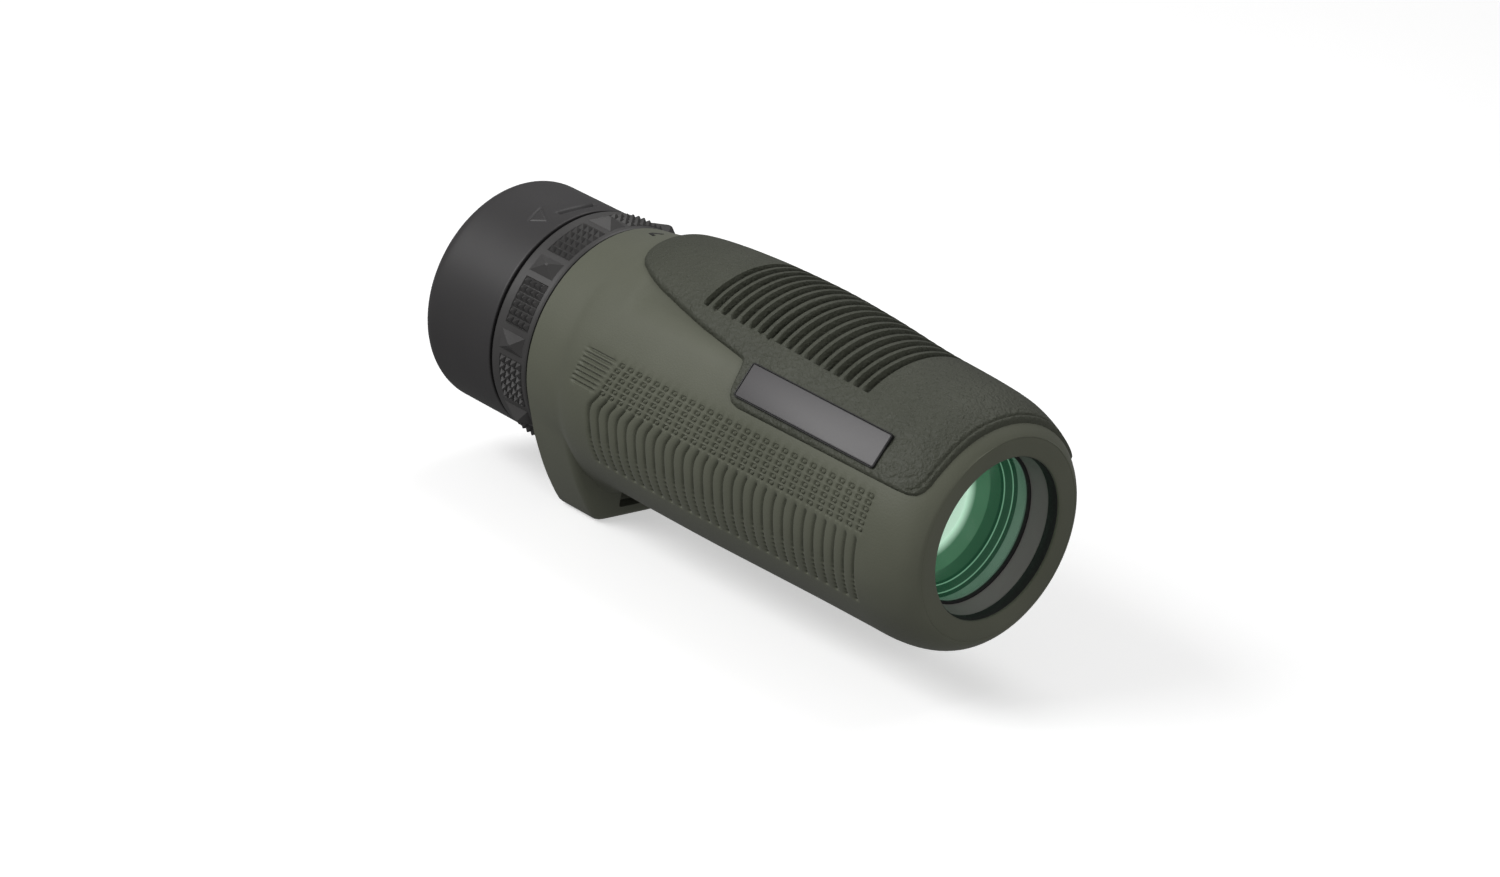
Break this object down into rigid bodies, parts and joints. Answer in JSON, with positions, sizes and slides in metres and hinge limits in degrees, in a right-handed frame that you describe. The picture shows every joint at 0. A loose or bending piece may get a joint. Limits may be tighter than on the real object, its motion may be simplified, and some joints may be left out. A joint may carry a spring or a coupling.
{
  "type": "monocular",
  "caption": "Compact roof-prism monocular with rubber armour, ribbed thumb panel, knurled focus ring, twist-up eyecup and strap lug.",
  "frame": {"origin": "centre of the objective opening, in the plane of the front rim", "axes": "+X along the optical axis out of the objective, +Z towards the ribbed thumb panel, -Z towards the strap lug, +Y completes the right-handed set"},
  "size_m": [0.112, 0.0418, 0.0509],
  "materials": {
    "armour_rubber": "satin olive-green moulded rubber",
    "panel_rubber": "leather-grained darker green rubber",
    "black_rubber": "satin black rubber",
    "black_plastic": "glass-filled black moulding, matte",
    "plate": "dark grey satin",
    "aluminium_black": "black anodised, satin",
    "lens_glass": "polished, green anti-reflection coating",
    "prism_glass": "polished",
    "steel": "stainless, plain",
    "seal": "matte black nitrile",
    "ptfe": "white, waxy"
  },
  "bodies": {
    "housing": {"rubber_armour": "armour_rubber", "top_panel": "panel_rubber", "label_plate_right": "plate", "label_plate_left": "plate", "barrel_housing": "black_plastic", "strap_pin": "steel", "objective_cell": "aluminium_black", "objective_retaining_ring": "aluminium_black", "objective_seal_ring": "seal", "cell_seal_ring": "seal", "objective_crown_lens": "lens_glass", "objective_flint_lens": "lens_glass", "light_baffle": "black_plastic", "prism_cage": "black_plastic", "half_penta_prism": "prism_glass", "roof_prism": "prism_glass", "prism_clamp": "steel", "prism_clamp_screws": "steel", "prism_cage_lock_ring": "aluminium_black", "field_stop": "aluminium_black", "eyepiece_tube": "aluminium_black", "rear_gasket": "seal", "focus_seal_rings": "seal", "field_lens": "lens_glass", "eyepiece_spacer_front": "aluminium_black", "eyepiece_flint_lens": "lens_glass", "eyepiece_crown_lens": "lens_glass", "eyepiece_spacer_rear": "aluminium_black", "eye_lens": "lens_glass", "eyepiece_retaining_ring": "aluminium_black"},
    "focus_ring": {"focus_ring_core": "black_plastic", "focus_ring_grip": "black_rubber"},
    "focus_carriage": {"focus_cell": "aluminium_black", "focusing_lens": "lens_glass", "focus_cell_retainer": "aluminium_black", "focus_drive_rod": "steel", "focus_drive_pin": "steel"},
    "eyecup_glide": {"eyecup_glide_ring": "ptfe"},
    "eyecup": {"eyecup_sleeve": "black_plastic", "eyecup_rubber": "black_rubber", "eyecup_guide_pins": "steel"}
  },
  "joints": [
    {"name": "focus_turn", "type": "hinge", "parent": "housing", "child": "focus_ring", "pos_m": [-0.0902, 0, 0], "axis": [1, 0, 0], "range_deg": [-150.5, 150.5]},
    {"name": "focus_travel", "type": "slide", "parent": "housing", "child": "focus_carriage", "axis": [1, 0, 0], "range_m": [-0.002, 0.002]},
    {"name": "eyecup_rise", "type": "slide", "parent": "housing", "child": "eyecup_glide", "axis": [-1, 0, 0], "range_m": [0, 0.007]},
    {"name": "eyecup_twist", "type": "hinge", "parent": "eyecup_glide", "child": "eyecup", "pos_m": [-0.0988, 0, 0], "axis": [-1, 0, 0], "range_deg": [0, 120.5]}
  ],
  "couplings": [
    {"joint": "focus_turn", "follows": "focus_travel", "rad_per_m": -1309},
    {"joint": "eyecup_twist", "follows": "eyecup_rise", "rad_per_m": 299.2}
  ]
}
